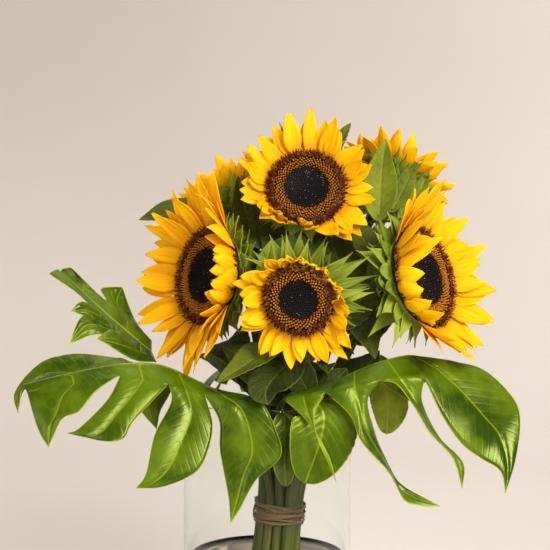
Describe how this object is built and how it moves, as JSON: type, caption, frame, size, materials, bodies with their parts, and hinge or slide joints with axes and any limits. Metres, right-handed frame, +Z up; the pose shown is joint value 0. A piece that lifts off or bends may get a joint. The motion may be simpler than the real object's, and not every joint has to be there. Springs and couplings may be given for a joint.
{
  "type": "sunflowers in a vase",
  "caption": "Hand-tied bouquet of sunflowers and large split leaves standing in a clear glass cylinder vase of water.",
  "frame": {"origin": "centre of the vase's flat underside, on the surface that it stands on", "axes": "+Z up, away from the vase's underside; the front of the bouquet faces -Y; +X to the right seen from the front"},
  "size_m": [0.4125, 0.3346, 0.5032],
  "materials": {
    "glass": "clear polished glass",
    "water": "clear still water",
    "raffia": "dry natural raffia",
    "stem": "ribbed green stem",
    "bract": "matt hairy green",
    "petal": "matt yellow petal with fine grooves",
    "disc": "dark brown florets, rough",
    "leaf": "matt dark green leaf",
    "monstera": "glossy waxy green leaf"
  },
  "bodies": {
    "root": {"glass_vase": "glass", "vase_water": "water", "raffia_tie": "raffia", "top_sunflower_stem": "stem", "top_sunflower_receptacle": "bract", "top_sunflower_bracts": "bract", "top_sunflower_petals": "petal", "top_sunflower_disc": "disc", "centre_sunflower_stem": "stem", "centre_sunflower_receptacle": "bract", "centre_sunflower_bracts": "bract", "centre_sunflower_petals": "petal", "centre_sunflower_disc": "disc", "left_sunflower_stem": "stem", "left_sunflower_receptacle": "bract", "left_sunflower_bracts": "bract", "left_sunflower_petals": "petal", "left_sunflower_disc": "disc", "right_sunflower_stem": "stem", "right_sunflower_receptacle": "bract", "right_sunflower_bracts": "bract", "right_sunflower_petals": "petal", "right_sunflower_disc": "disc", "back_right_sunflower_stem": "stem", "back_right_sunflower_receptacle": "bract", "back_right_sunflower_bracts": "bract", "back_right_sunflower_petals": "petal", "back_right_sunflower_disc": "disc", "back_left_sunflower_stem": "stem", "back_left_sunflower_receptacle": "bract", "back_left_sunflower_bracts": "bract", "back_left_sunflower_petals": "petal", "back_left_sunflower_disc": "disc", "left_monstera_stem": "stem", "left_monstera_leaf": "monstera", "upper_left_monstera_stem": "stem", "upper_left_monstera_leaf": "monstera", "right_monstera_stem": "stem", "right_monstera_leaf": "monstera", "back_monstera_stem": "stem", "back_monstera_leaf": "monstera", "left_top_leaf": "leaf", "top_small_leaf": "leaf", "centre_left_leaf": "leaf", "centre_lower_leaf": "leaf", "centre_right_leaf": "leaf", "right_inner_leaf": "leaf", "left_inner_leaf": "leaf", "inner_left_leaf": "leaf", "inner_middle_leaf": "leaf", "inner_right_leaf": "leaf", "back_right_leaf": "leaf", "back_left_leaf": "leaf", "back_middle_leaf": "leaf", "front_round_leaf": "leaf", "right_round_leaf": "leaf", "mouth_right_leaf": "leaf", "mouth_left_leaf": "leaf", "mouth_back_leaf": "leaf", "vase_leaf": "leaf"}
  },
  "joints": []
}
